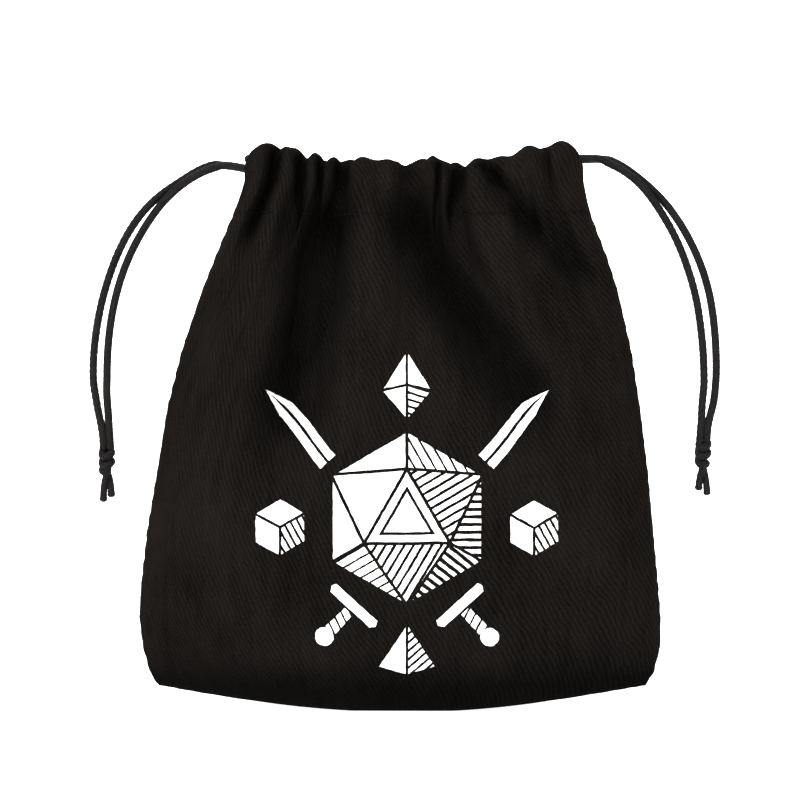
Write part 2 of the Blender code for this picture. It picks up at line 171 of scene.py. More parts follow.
def shut_ends(x, y):
    """The same plan where front and back are sewn together at both ends."""
    return y * np.sqrt(smooth((HALF_NECK - np.abs(x)) / (2.4 * MM)))


def roundness(across):
    """Depth of a cushion-shaped section at a place across it, both from 0 to 1."""
    return (1 - np.minimum(np.abs(across), 1) ** 2.4) ** 0.62


section, _ = evenly(np.stack([fine * HALF_BAG, HALF_DEPTH * roundness(fine)], 1), COLUMNS)
ACROSS = section[:, 0] / HALF_BAG  # where each column stands, from -1 to 1


def half_depth(z):
    """Half the bag's depth in its middle: a flat base, a rounded belly, then a taper to the neck."""
    z = np.asarray(z, float)
    rise = (1 - (1 - np.clip(z / BELLY_Z, 0, 1)) ** 2.4) ** (1 / 2.4)
    low = BASE_DEPTH + (HALF_DEPTH - BASE_DEPTH) * rise
    fall = smooth((z - BELLY_Z) / (STITCH_Z - BELLY_Z))
    return np.where(z < BELLY_Z, low, HALF_DEPTH + (NECK_DEPTH - HALF_DEPTH) * fall)


def corner_lift(across):
    """How high the bottom seam curves up towards its corners."""
    return 5.3 * MM * (np.clip(np.abs(across) - 0.22, 0, 1) / 0.78) ** 1.2


GATHER_FROM = 88 * MM  # the height where the gathers begin


def start_column(i, neck_x, neck_y):
    """One column of a panel before the simulation, from the bottom seam up to the stitch row."""
    a = ACROSS[i]
    lift = corner_lift(a)
    share = np.linspace(0, 1, 161) ** 1.4  # closest together at the base, where the cloth bends most
    z = lift + share * (STITCH_Z - lift)
    left, right = edges_at(z)
    gathered = smooth((z - GATHER_FROM) / (STITCH_Z - GATHER_FROM))
    middle, half = (left + right) / 2, (right - left) / 2
    x = middle + half * (a * (1 - gathered) + neck_x[i] / HALF_NECK * gathered)
    y = half_depth(share * STITCH_Z) * roundness(a) * (1 - gathered) + neck_y[i] * gathered
    seam = np.array([[x[0], 0.0, lift]])
    return evenly(np.concatenate([seam, np.stack([x, y, z], 1)]), BODY_ROWS)


def top_height(x, lumps, recesses):
    """The uneven top edge of a casing: high and round at both ends, with a lump for each fold."""
    mm = x / MM
    height = TOP_Z - 1.0 * MM - 4.6 * MM * np.exp(-((mm / 36.5) ** 6))
    for place, width, rise in lumps:
        height = height + rise * MM * np.exp(-(((mm - place) / width) ** 2))
    for place, width, depth, leaning in recesses:
        height = height - 0.22 * depth * MM * np.exp(-(((mm - place - leaning * 18) / (width + 0.3)) ** 2))
    past = np.clip((np.abs(mm) - 43.5) / 5.5, 0, 1)
    return height - 4.2 * MM * (1 - np.sqrt(1 - past**2))


HEM = 2.3 * MM  # radius of the fold along the top edge


def casing_rows(x, y, recesses, lumps):
    """Points of one casing above the stitch row: its outer wall, the fold at the top and its inner wall."""
    top = top_height(x, lumps, recesses) - HEM
    middle = casing_middle(x)
    closed = shut_ends(x, y)
    rows = []
    for k in range(1, WALL_ROWS + 1):
        t = k / WALL_ROWS
        z = STITCH_Z + t * (top - STITCH_Z)
        wall = middle + CORD_ROOM + pleat(x, recesses, z - STITCH_Z)
        pinch = -0.35 * MM * math.exp(-((t / 0.12) ** 2)) + 0.5 * MM * math.sin(math.pi * min(t * 1.05, 1))
        opened = smooth(t / 0.3)
        rows.append((closed * (1 - opened) + wall * opened + pinch * (closed > 3 * MM), z))
    room = np.minimum(middle - 0.4 * MM, CORD_ROOM + 0.35 * (wall - middle - CORD_ROOM))
    for k in range(1, FOLD_ROWS + 1):
        angle = math.pi * k / (FOLD_ROWS + 1)
        reach = (wall - middle + room) / 2
        rows.append((wall - reach + reach * math.cos(angle), top + HEM * math.sin(angle)))
    for k in range(LINING_ROWS):
        t = k / (LINING_ROWS - 1)
        close = smooth((t - 0.45) / 0.55)
        inside = np.maximum(closed - 1.4 * MM, 0.25 * MM)
        rows.append(((middle - room) * (1 - close) + inside * close, top - t * (top - STITCH_Z - 0.6 * MM)))
    found = []
    for number, (out, z) in enumerate(rows):
        left, right = edges_at(z)
        short = 1 - 0.075 * smooth((number - 10) / 8)  # the lining is a little narrower
        across = (left + right) / 2 + (right - left) / 2 * short * x / HALF_NECK
        found.append(np.stack([across, out, z + 0 * x], 1))
    return found


def start_grids():
    """Both panels before the simulation, each with its flat rest shape, as (rows, columns, xyz) grids."""
    grids, rests = [], []
    for side, recesses, lumps in ((-1, FRONT_RECESSES, FRONT_LUMPS), (1, BACK_RECESSES, BACK_LUMPS)):
        neck_x, neck_y, length = neck_curve(recesses)
        sewn = shut_ends(neck_x, neck_y)
        columns, flats = zip(*(start_column(i, neck_x, sewn) for i in range(COLUMNS)))
        casing = np.stack(casing_rows(neck_x, neck_y, recesses, lumps))
        grid = np.concatenate([np.stack(columns, 1), casing], 0)
        grid[..., 1] *= side
        rest = np.zeros_like(grid)
        rest[..., 0] = np.linspace(-0.5, 0.5, COLUMNS) * length
        rest[:BODY_ROWS, :, 2] = np.stack(flats, 1)
        steps = np.linalg.norm(np.diff(grid, axis=0), axis=2).mean(1)
        for j in range(BODY_ROWS, len(grid)):
            rest[j, :, 2] = rest[j - 1, :, 2] + steps[j - 1]
        grids.append(grid)
        rests.append(rest)
    return grids, rests


def tube_ids(rows):
    """Vertex ids of the front and back grids in one tube, sewn along its sides and its bottom."""
    front = np.arange(rows * COLUMNS).reshape(rows, COLUMNS)
    back = np.full((rows, COLUMNS), -1)
    sewn = slice(0, BODY_ROWS)
    back[sewn, 0], back[sewn, -1], back[0] = front[sewn, 0], front[sewn, -1], front[0]
    free = back < 0
    back[free] = rows * COLUMNS + np.arange(free.sum())
    return front, back, rows * COLUMNS + int(free.sum())


def blurred(field, passes, *axes):
    """A field averaged with its neighbours along each of the axes, whose two ends stay as they are."""
    field = field.copy()
    for _ in range(passes):
        for axis in axes:
            line = np.moveaxis(field, axis, 0)
            line[1:-1] = (line[:-2] + 2 * line[1:-1] + line[2:]) / 4
    return field


def soften(start, settled):
    """Keeps the simulated drape but relaxes its small creases, most of all low down and at the sides."""
    move = settled - start
    rows = np.linspace(0, 1, BODY_ROWS)[:, None]
    edge = np.abs(np.linspace(-1, 1, COLUMNS))[None]
    held = smooth((1 - rows) / 0.13)[..., None]
    crisp = (smooth((rows - 0.62) / 0.30) * (1 - smooth((edge - 0.72) / 0.20)))[..., None]
    body = slice(0, BODY_ROWS)
    result = settled.copy()
    relaxed = blurred(move[body], 70, 0, 1) * (1 - crisp) + blurred(move[body], 3, 0, 1) * crisp
    result[body] = start[body] + relaxed * held
    return result


def quads(ids, flip):
    """The faces of a grid of vertex ids."""
    a, b, c, d = ids[:-1, :-1], ids[:-1, 1:], ids[1:, 1:], ids[1:, :-1]
    order = (a, d, c, b) if flip else (a, b, c, d)
    return np.stack([k.reshape(-1) for k in order], 1)


def link(name, data):
    """A new object in the scene."""
    obj = bpy.data.objects.new(name, data)
    bpy.context.scene.collection.objects.link(obj)
    return obj


def simulate(grids, rests):
    """Runs the cloth solver from the start shape, with the casing and the resting strip of the base held."""
    front, back, count = tube_ids(len(grids[0]))
    points, flats = np.empty((count, 3)), np.empty((count, 3))
    for ids, grid, rest in ((back, grids[1], rests[1]), (front, grids[0], rests[0])):
        points[ids.reshape(-1)] = grid.reshape(-1, 3)
        flats[ids.reshape(-1)] = rest.reshape(-1, 3)
    points[front[:BODY_ROWS, [0, -1]].reshape(-1), 1] = 0
    points[front[0], 1] = 0
    mesh = bpy.data.meshes.new("cloth")
    faces = np.concatenate([quads(front, False), quads(back, True)])
    mesh.from_pydata((points * SIM_SCALE).tolist(), [], faces.tolist())
    cloth = link("cloth", mesh)
    cloth.shape_key_add(name="Basis")
    flat = cloth.shape_key_add(name="flat")
    flat.data.foreach_set("co", (flats * SIM_SCALE).reshape(-1))
    flat.value = 0
    held = cloth.vertex_groups.new(name="held")
    strip = np.nonzero((points[:, 2] < 0.2 * MM) & (np.abs(points[:, 0]) < 16 * MM))[0]
    fixed = [ids[STITCH_ROW:].reshape(-1) for ids in (front, back)]
    fixed = np.unique(np.concatenate([*fixed, strip]))
    held.add([int(k) for k in fixed], 1.0, "REPLACE")
    solver = cloth.modifiers.new("cloth", "CLOTH")
    for setting, value in SOLVER.items():
        setattr(solver.settings, setting, value)
    solver.settings.rest_shape_key = flat
    solver.settings.effector_weights.gravity = 0.0
    solver.point_cache.frame_start, solver.point_cache.frame_end = 1, SIM_FRAMES
    scene = bpy.context.scene
    for number in range(1, SIM_FRAMES + 1):
        scene.frame_set(number)
    settled = np.empty(count * 3)
    evaluated = cloth.evaluated_get(bpy.context.evaluated_depsgraph_get())
    evaluated.data.vertices.foreach_get("co", settled)
    bpy.data.objects.remove(cloth)
    scene.frame_set(1)
    move = settled.reshape(-1, 3) / SIM_SCALE - points
    far = np.linalg.norm(move, axis=1)
    settled = points + move * np.minimum(1, MOST_MOVE / np.maximum(far, 1e-9))[:, None]
    return soften(points[front], settled[front]), soften(points[back], settled[back])


# Soft folds below the gathers: (x, z) of a path's points, half-width and depth in mm. Below 0 is a ridge
FRONT_FOLDS = (
    (((-21, 156), (-22, 140), (-25, 118), (-30, 94), (-33, 70)), 9.8, 14.5),
    (((3, 160), (6, 140), (13, 125), (24, 110), (33, 96), (40, 74)), 9.6, 12.0),
    (((27, 160), (35, 150), (44, 139), (53, 127), (59, 114)), 5.4, 7.6),
    (((15, 156), (19, 136), (28, 122), (36, 110)), 2.6, 2.2),
    (((-39, 156), (-43, 132), (-48, 112)), 3.4, 2.2),
    (((-34, 82), (-31, 60), (-27, 38), (-24, 14)), 6.5, 3.2),
    (((58, 112), (60, 80), (64, 50), (62, 20)), 7.0, 1.8),
    (((-58, 100), (-63, 70), (-62, 36)), 7.0, 1.4),
    (((14, 66), (18, 38), (12, 8)), 10.0, 1.0),
    (((-9, 146), (-9, 122), (-8, 96)), 8.0, -1.6),
    (((26, 134), (38, 114), (46, 92)), 5.0, -1.6),
    (((-46, 60), (-47, 36), (-44, 18)), 9.0, -0.8),
)
BACK_FOLDS = (
    (((-25, 152), (-28, 128), (-36, 102), (-41, 76)), 6.0, 4.2),
    (((8, 152), (8, 126), (14, 98), (16, 70)), 6.0, 4.4),
    (((31, 152), (36, 128), (46, 102), (53, 78)), 5.0, 3.6),
    (((-10, 152), (-14, 128), (-16, 104)), 4.0, 2.2),
    (((-52, 100), (-58, 66), (-58, 34)), 8.0, 1.8),
    (((34, 70), (40, 44), (36, 18)), 9.0, 1.4),
    (((-8, 60), (-6, 36), (-12, 12)), 10.0, 1.0),
)


def fold_depth(x, z, folds):
    """How far all the soft folds together push the cloth in."""
    total = np.zeros_like(x)
    for path, width, depth in folds:
        px, pz = (np.array(k, float) for k in zip(*path))
        order = np.argsort(pz)
        centre = np.interp(z / MM, pz[order], px[order])
        fade = smooth((z / MM - pz.min()) / 18) * smooth((pz.max() - z / MM) / 10)
        total += depth * MM * fade * np.exp(-(np.abs((x / MM - centre) / width) ** 2.8))
    return total


def fit_outline(grid):
    """Stretches each height of the body sideways so that its edges follow the outline."""
    body = grid[:BODY_ROWS]
    now = []
    for edge in (0, -1):
        order = np.argsort(body[:, edge, 2])
        now.append(np.interp(body[..., 2], body[order, edge, 2], body[order, edge, 0]))
    left_now, right_now = now
    left, right = edges_at(body[..., 2])
    share = (body[..., 0] - left_now) / (right_now - left_now)
    fitted = grid.copy()
    fitted[:BODY_ROWS, :, 0] = left + share * (right - left)
    return fitted


def denser(grid):
    """Twice the columns, on a smooth curve through the old ones."""
    padded = np.concatenate([2 * grid[:, :1] - grid[:, 1:2], grid, 2 * grid[:, -1:] - grid[:, -2:-1]], 1)
    between = (9 * (grid[:, :-1] + grid[:, 1:]) - padded[:, :-3] - padded[:, 3:]) / 16
    out = np.empty((len(grid), grid.shape[1] * 2 - 1, grid.shape[2]))
    out[:, ::2], out[:, 1::2] = grid, between
    return out


def grid_normals(grid, side):
    """Normals of a panel, away from the inside of the bag."""
    normal = np.cross(np.gradient(grid, axis=1), np.gradient(grid, axis=0))
    size = np.linalg.norm(normal, axis=2, keepdims=True)
    return -side * normal / np.maximum(size, 1e-12)


def let_out(grid):
    """Lets the narrow gathers die out a little below the stitches, into broader folds."""
    body = grid[:BODY_ROWS, :, 1]
    share = 0.85 * smooth((STITCH_Z - 1.5 * MM - grid[:BODY_ROWS, :, 2]) / (17 * MM))
    grid[:BODY_ROWS, :, 1] = body * (1 - share) + blurred(body, 34, 1) * share


def press(grid, side, folds):
    """Pushes the soft folds into a panel. They die out above its stitches, below the cords."""
    out, rise = side * grid[..., 1], grid[..., 2] - STITCH_Z
    room = np.minimum(1, out / (12 * MM))
    room[STITCH_ROW:] = room[STITCH_ROW]
    fold = fold_depth(grid[..., 0], grid[..., 2], folds)
    grid[..., 1] -= side * fold * room * (1 - smooth(rise / (6 * MM)))


def tuck_lining(grid, side):
    """Keeps the inner wall of a casing behind its outer wall."""
    wall = grid[STITCH_ROW : BODY_ROWS + WALL_ROWS]
    for row in grid[BODY_ROWS + WALL_ROWS + FOLD_ROWS :]:
        heights, outs = [], []
        for line in wall:
            line = line[np.argsort(line[:, 0])]
            heights.append(np.interp(row[:, 0], line[:, 0], line[:, 2]))
            outs.append(np.interp(row[:, 0], line[:, 0], side * line[:, 1]))
        heights, outs = np.array(heights), np.array(outs)
        ahead = np.array([np.interp(z, heights[:, k], outs[:, k]) for k, z in enumerate(row[:, 2])])
        most = np.maximum(ahead - 2 * FABRIC, 0.1 * MM)
        row[:, 1] = side * np.minimum(side * row[:, 1], most)


def dress(grid, rest, side, folds):
    """A simulated panel fitted to the outline, with its soft folds and the puckers along its side seams."""
    grid = fit_outline(grid)
    let_out(grid)
    press(grid, side, folds)
    near_seam = slice(STITCH_ROW - 10, STITCH_ROW + 8)
    grid[near_seam] = blurred(grid[near_seam], 12, 0)
    tuck_lining(grid, side)
    grid, rest = denser(grid), denser(rest)
    along = rest[..., 2]
    for sign, edge in ((-1, rest[0, 0, 0]), (1, rest[0, -1, 0])):
        near = np.exp(-np.abs(rest[..., 0] - edge) / (2.6 * MM))
        pucker = np.sin(along / MM * 1.25 + sign) + 0.6 * np.sin(along / MM * 2.9 + 2 * sign)
        body = smooth((STITCH_Z + 4 * MM - grid[..., 2]) / (6 * MM))
        grid[..., 0] += sign * 0.10 * MM * pucker * near * body
        grid[..., 1] += side * 0.22 * MM * np.roll(pucker, 1, 0) * near * (1 - near) * 4 * body
    return grid, rest


def skin(rows, columns, flip):
    """Faces of a closed skin, made of a grid, the grid behind it and a rim, and its border edges."""
    ids = np.arange(rows * columns).reshape(rows, columns)
    loop = np.concatenate([ids[0, :-1], ids[:-1, -1], ids[-1, :0:-1], ids[:0:-1, 0]])
    after = np.roll(loop, -1)
    rim = np.stack([after, loop, loop + ids.size, after + ids.size], 1)
    faces = np.concatenate([quads(ids, flip), quads(ids + ids.size, not flip), rim[:, ::-1] if flip else rim])
    return faces.tolist(), np.sort(np.stack([loop, after], 1), axis=1).tolist()


def shell(name, grid, rest, side, first, last):
    """One closed piece of cloth from a span of a panel's columns, with its fabric coordinates as UVs."""
    normals = grid_normals(grid, side)
    outer = grid[:, first : last + 1]
    inner = outer - normals[:, first : last + 1] * FABRIC
    inner[:BODY_ROWS, :, 1] = side * np.maximum(side * inner[:BODY_ROWS, :, 1], 0.02 * MM)
    points = np.concatenate([outer.reshape(-1, 3), inner.reshape(-1, 3)])
    points[:, 2] = np.maximum(points[:, 2], 0)
    flat = rest[:, first : last + 1][..., [0, 2]].reshape(-1, 2)
    faces, border = skin(*outer.shape[:2], side > 0)
    piece = solid(name, [(points, faces, np.concatenate([flat, flat]))])
    sharp = {(a + layer, b + layer) for a, b in border for layer in (0, len(flat))}
    flags = [tuple(sorted(edge.vertices)) in sharp for edge in piece.data.edges]
    piece.data.attributes.new("sharp_edge", "BOOLEAN", "EDGE").data.foreach_set("value", flags)
    return piece


def outfit(piece, material, slot, *nodes):
    """Gives a piece its material and hides the CAD nodes that it stands for. The slot is not used."""
    piece.data.materials.append(material)
    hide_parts(*nodes)


# Cords

CORD = 1.2 * MM  # radius
APART = 1.38 * MM  # half the distance between a cord's strands where they touch
DROP_Z = 98 * MM  # below this height a cord hangs straight down
BEYOND = 2.6 * MM  # past its pivot a cord moves with its swinging lead
WRAPS = 2.7  # turns of cord in a knot
BRAID = 4  # carriers each way round a cord
BRAID_STEP = 1.9 * MM  # along a cord from one carrier to the next


def hang(side, word, at):
    """The middle of a doubled cord: at 0 to 1 round its bend, 1 to 2 down to the knot."""
    lead_low, lead_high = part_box(f"{word}_lead_front")
    loop_low, loop_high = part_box(f"{word}_cord_loop")
    knot_low, knot_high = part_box(f"{word}_knot")
    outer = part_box(f"{word}_strand_back")[0 if side < 0 else 1].x
    x0 = lead_high.x if side < 0 else lead_low.x
    z0 = (loop_low.z + loop_high.z) / 2
    x1 = outer - side * 3 * MM
    angle = np.minimum(at, 1) * math.pi / 2
    x = x0 + (x1 - x0) * np.sin(angle)
    z = z0 - (z0 - DROP_Z) * (1 - np.cos(angle))
    if side < 0:
        z = z + 1.8 * MM * (1 - smooth(at / 0.27)) * smooth((at + 0.10) / 0.12)
    else:
        z = z - 2.9 * MM * np.sin(math.pi * np.clip(at / 0.76, 0, 1))
    down = np.clip(at - 1, 0, 1)
    x = x + ((knot_low.x + knot_high.x) / 2 - x1) * smooth(down)
    z = z + (knot_high.z - 1.6 * MM - DROP_Z) * down
    return np.stack([x, 0 * x, z], -1)


def exit_of(side, word):
    """Where a cord leaves the neck."""
    return hang(side, word, np.array([0.0]))[0]


def strand(side, word, which):
    """One hanging strand, from the neck down into the knot."""
    at = np.linspace(0, 2, 260)
    middle = hang(side, word, at)
    along = np.gradient(middle, axis=0)
    along /= np.linalg.norm(along, axis=1, keepdims=True)
    across = np.cross(along, (0, 1, 0))
    opened = smooth((at - 0.30) / 0.35) * (1 - smooth((at - 0.95) / 0.85))
    merged = smooth((at - 1.30) / 0.50)
    apart = APART + (0.50 * opened - 0.36 * merged + 0.16 * np.sin(at * 9 + side) * opened) * MM
    turn = math.radians(26) * smooth(at / 0.05) + math.radians(64) * smooth((at - 0.18) / 0.34)
    offset = np.array([0, 1.0, 0]) * np.cos(turn)[:, None] + across * (side * np.sin(turn))[:, None]
    return middle + offset * (which * apart)[:, None]


def neck_run(side, word):
    """A cord's way round the inside of both casings, from its exit in front to its exit behind."""
    loop_low, loop_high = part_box(f"{word}_cord_loop")
    z0 = (loop_low.z + loop_high.z) / 2
    mouth_x, _, mouth_z = exit_of(side, word)
    reach = side * (mouth_x - CENTRE)
    own = np.linspace(reach, HALF_NECK, 8)[1:]
    run = np.linspace(HALF_NECK, -HALF_NECK + 2.6 * MM, 90)
    u = np.concatenate([own, run[1:]])
    mouth = casing_middle(np.minimum(np.abs(u), HALF_NECK))
    closing = smooth((u - HALF_NECK) / (reach - HALF_NECK))
    y = mouth + (APART - mouth) * closing
    turn = np.linspace(0, math.pi, 14)[1:-1]
    u = np.concatenate([u, u[-1] - 1.5 * MM * np.sin(turn)])
    y = np.concatenate([y, y[-1] * np.cos(turn)])
    inside = slice(0, len(own) + len(run) - 1)
    u, y = np.concatenate([u, u[inside][::-1]]), np.concatenate([y, -y[inside][::-1]])
    sag = 5.2 * MM * np.exp(-((u / (0.76 * HALF_NECK)) ** 6))
    z = z0 - sag + (mouth_z - z0) * smooth((u - HALF_NECK + 6 * MM) / (reach - HALF_NECK + 6 * MM))
    return np.stack([CENTRE + side * u, -y, z], -1)


def even_path(points, step):
    """The same path with evenly spaced points, softly rounded."""
    path, at = evenly(points, int(round(lengths(points)[-1] / step)) + 1)
    return blurred(path, 12, 0), at


def frames(path):
    """Two directions across a path at each point, turning as little as possible."""
    along = np.gradient(path, axis=0)
    along /= np.linalg.norm(along, axis=1, keepdims=True)
    across = np.empty_like(along)
    first = np.cross(along[0], (0.3, 1.0, 0.2))
    across[0] = first / np.linalg.norm(first)
    for k in range(1, len(path)):
        kept = across[k - 1] - along[k] * (across[k - 1] @ along[k])
        across[k] = kept / np.linalg.norm(kept)
    return across, np.cross(along, across)


def braid_relief(angle, at):
    """Height of a round braid's surface, from 0 in its gaps to 1 on top of a carrier."""
    turns = BRAID * angle / (2 * math.pi)
    one, other = turns + at / BRAID_STEP, turns - at / BRAID_STEP
    ridge, cross = (np.sin(math.pi * (k % 1)) ** 0.75 for k in (one, other))
    over = (np.floor(one) + np.floor(other)) % 2 < 1
    return np.where(over, ridge * (0.55 + 0.45 * cross), cross * (0.55 + 0.45 * ridge))


def braided(path, at, across, out, radius, sides=24):
    """Points, faces and UVs of a closed braided tube. Radius is a number or one for each point."""
    angle = np.arange(sides) * 2 * math.pi / sides
    relief = 0.89 + 0.13 * braid_relief(angle[None], at[:, None])
    size = np.broadcast_to(radius, len(path))[:, None] * relief
    ring = across[:, None] * np.cos(angle)[None, :, None] + out[:, None] * np.sin(angle)[None, :, None]
    points = (path[:, None] + ring * size[..., None]).reshape(-1, 3)
    ids = np.arange(len(path) * sides).reshape(len(path), sides)
    after = np.roll(ids, -1, 1)
    faces = np.stack([k.reshape(-1) for k in (ids[:-1], after[:-1], after[1:], ids[1:])], 1).tolist()
    faces += [ids[0, ::-1].tolist(), ids[-1].tolist()]
    uv = np.stack(np.broadcast_arrays(angle[None] * np.max(radius), at[:, None]), -1).reshape(-1, 2)
    return points, faces, uv


def solid(name, parts):
    """One smooth object from (points, faces, uv) parts."""
    points, faces, uvs, count = [], [], [], 0
    for part_points, part_faces, part_uv in parts:
        points.append(part_points)
        uvs.append(part_uv)
        faces += [[count + k for k in face] for face in part_faces]
        count += len(part_points)
    mesh = bpy.data.meshes.new(name)
    mesh.from_pydata(np.concatenate(points).tolist(), [], faces)
    layer = mesh.uv_layers.new(name="fabric")
    flat = np.concatenate(uvs)
    layer.data.foreach_set("uv", flat[[k for face in faces for k in face]].reshape(-1))
    mesh.shade_smooth()
    return link(name, mesh)


def knot_and_tails(side, word):
    """The wraps of an overhand knot in both strands, and the two short tails below it."""
    low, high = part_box(f"{word}_knot")
    tip_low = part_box(f"{word}_tip_front")[0]
    x = (low.x + high.x) / 2
    t = np.linspace(0, 1, 200)
    angle = 2 * math.pi * WRAPS * t + (0.4 if side < 0 else 2.2)
    reach = 1.30 * MM * smooth(t / 0.07) * smooth((1 - t) / 0.07) + 0.15 * MM
    tilt = (1.6 - 0.4 * t) * MM * np.sin(angle + 0.6) * smooth(t / 0.1) * smooth((1 - t) / 0.1)
    z = high.z - 0.9 * MM - (high.z - low.z - 2.1 * MM) * t + tilt
    wraps = np.stack([x + reach * np.cos(angle) * 0.98, reach * np.sin(angle), z], -1)
    path, at = even_path(wraps, 0.3 * MM)
    parts = [braided(path, at, *frames(path), 1.26 * MM)]
    for which in (-1, 1):
        s = np.linspace(0, 1, 30)[:, None]
        start = np.array([x - which * 0.55 * MM, which * 0.9 * MM, low.z + 2.2 * MM])
        end_z = tip_low.z + (0.5 - 0.7 * which * side) * MM
        end = np.array([x + which * 1.25 * MM, -which * 0.3 * MM, end_z])
        bow = np.array([which * 0.45 * MM, 0, 0]) * np.sin(math.pi * s)
        path, at = even_path(start + (end - start) * s + bow, 0.25 * MM)
        left = at[-1] - at
        frayed = 1 + 0.12 * np.exp(-((left - 0.8 * MM) / (0.6 * MM)) ** 2)
        rounded = 1 - 0.5 * np.exp(-left / (0.22 * MM))
        parts.append(braided(path, at, *frames(path), 1.08 * MM * frayed * rounded, 20))
    return parts


def cord_pieces(side, word):
    """One cord as three pieces: its run through the neck, its two strands, and its knot with the tails."""
    pivot = exit_of(side, word)
    down = strand(side, word, -1), strand(side, word, 1)
    whole = np.concatenate([down[0][::-1], neck_run(side, word)[1:-1], down[1]])
    path, at = even_path(whole, 0.32 * MM)
    across, out = frames(path)
    inside = np.nonzero(side * (path[:, 0] - pivot[0]) < BEYOND)[0]
    first, last = inside[0], inside[-1]
    run = slice(first, last + 1)
    loop = solid(f"{word}_cord", [braided(path[run], at[run], across[run], out[run], CORD, 20)])
    hanging = solid(
        f"{word}_strands",
        [braided(path[k], at[k], across[k], out[k], CORD) for k in (slice(0, first + 1), slice(last, None))],
    )
    knot = solid(f"{word}_knot_wraps", knot_and_tails(side, word))
    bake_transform(loop)
    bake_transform(hanging)
    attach(knot, f"{word}_pull")
    for piece, stood_for in (
        (loop, ("cord_loop", "lead_front", "lead_back")),
        (hanging, ("strand_front", "strand_back")),
        (knot, ("knot", "tip_front", "tip_back")),
    ):
        outfit(piece, black_braid, "braided_cord", *(f"{word}_{node}" for node in stood_for))


# Stitches and seam allowances

STITCH = 2.9 * MM
STITCH_GAP = 0.7 * MM
THREAD = 0.20 * MM  # radius
ALLOWANCE = 7.5 * MM  # width of a seam allowance
ALLOWANCE_DEPTH = 0.9 * MM  # thickness of its two plies


def stitch_parts(row, normal):
    """Lockstitches along a row of cloth points: small pillows of thread, each pulled in at its ends."""
    length = lengths(row)
    parts = []
    count = int((length[-1] - 3 * MM) / (STITCH + STITCH_GAP))
    for k in range(count):
        start = 1.5 * MM + k * (STITCH + STITCH_GAP)
        at = start + STITCH * np.linspace(0, 1, 9)
        path, lift = (np.stack([np.interp(at, length, v[:, i]) for i in range(3)], -1) for v in (row, normal))
        sunk = np.abs(np.linspace(-1, 1, 9)) ** 4
        path = path + lift * (0.10 * MM - 0.32 * MM * sunk)[:, None]
        size = THREAD * (1 - 0.35 * sunk)
        parts.append(braided(path, at, *frames(path), size, 8))
    return parts


def ribbon(name, edge, inward, waves):
    """A strip of seam allowance: two plies pressed together, wavy along its raw edge."""
    count, across = len(edge), 5
    share = np.linspace(0, 1, across)
    along = lengths(edge)
    sway = np.sin(along / MM * waves)[:, None] * share[None] ** 2 * 0.5 * MM
    ragged = 1 + 0.06 * np.sin(along / MM * 2.3) + 0.05 * np.sin(along / MM * 5.1 + 1)
    middle = edge[:, None] + np.array(inward) * (share[None] * ALLOWANCE * ragged[:, None])[..., None]
    sides = []
    for sign in (-1, 1):
        offset = np.zeros_like(middle)
        offset[..., 1] = sway + sign * ALLOWANCE_DEPTH * (0.5 - 0.18 * share[None])
        sides.append(middle + offset)
    faces, _ = skin(count, across, False)
    points = np.concatenate([k.reshape(-1, 3) for k in sides])
    uv = np.stack(np.broadcast_arrays(share[None] * ALLOWANCE, along[:, None]), -1).reshape(-1, 2)
    piece = solid(name, [(points, faces, np.concatenate([uv, uv]))])
    with_normals = bmesh.new()
    with_normals.from_mesh(piece.data)
    bmesh.ops.recalc_face_normals(with_normals, faces=with_normals.faces)
    with_normals.to_mesh(piece.data)
    with_normals.free()
    piece.data.set_sharp_from_angle(angle=math.radians(50))
    return piece


# The printed emblem: a twenty-sided die before two crossed swords, with four smaller dice round it


def clip(polygon, normal, limit):
    """The part of a convex polygon where its points' distance along a normal is at most the limit."""
    kept = []
    away = polygon @ np.asarray(normal) - limit
    for k, (here, there) in enumerate(zip(polygon, np.roll(polygon, -1, 0))):
        a, b = away[k], away[(k + 1) % len(polygon)]
        if a <= 1e-9:
            kept.append(here)
        if (a < -1e-9 and b > 1e-9) or (a > 1e-9 and b < -1e-9):
            kept.append(here + (there - here) * a / (a - b))
    return np.array(kept) if len(kept) > 2 else np.zeros((0, 2))


def band(polygon, normal, low, high):
    """The part of a convex polygon between two distances along a normal."""
    return clip(clip(polygon, normal, high), -np.asarray(normal), -low)


def inset(polygon, gap):
    """A convex polygon with every edge moved inwards."""
    middle = polygon.mean(0)
    kept = polygon
    for here, there in zip(polygon, np.roll(polygon, -1, 0)):
        edge = there - here
        normal = np.array([edge[1], -edge[0]]) / np.linalg.norm(edge)
        if (middle - here) @ normal > 0:
            normal = -normal
        kept = clip(kept, normal, here @ normal - gap)
    return kept


def stripes(polygon, angle, spacing, filled):
    """A convex polygon as parallel bars."""
    normal = np.array([math.cos(angle), math.sin(angle)])
    low, high = (polygon @ normal).min(), (polygon @ normal).max()
    bars = []
    at = low - spacing * 0.3
    while at < high:
        bars.append(band(polygon, normal, at, at + spacing * filled))
        at += spacing
    return [bar for bar in bars if len(bar)]


def ring_of(count, radius, middle=(0, 0)):
    """Points evenly round a circle, from its top."""
    angles = np.arange(count) * 2 * math.pi / count
    return np.stack([np.sin(angles), np.cos(angles)], 1) * radius + np.asarray(middle)


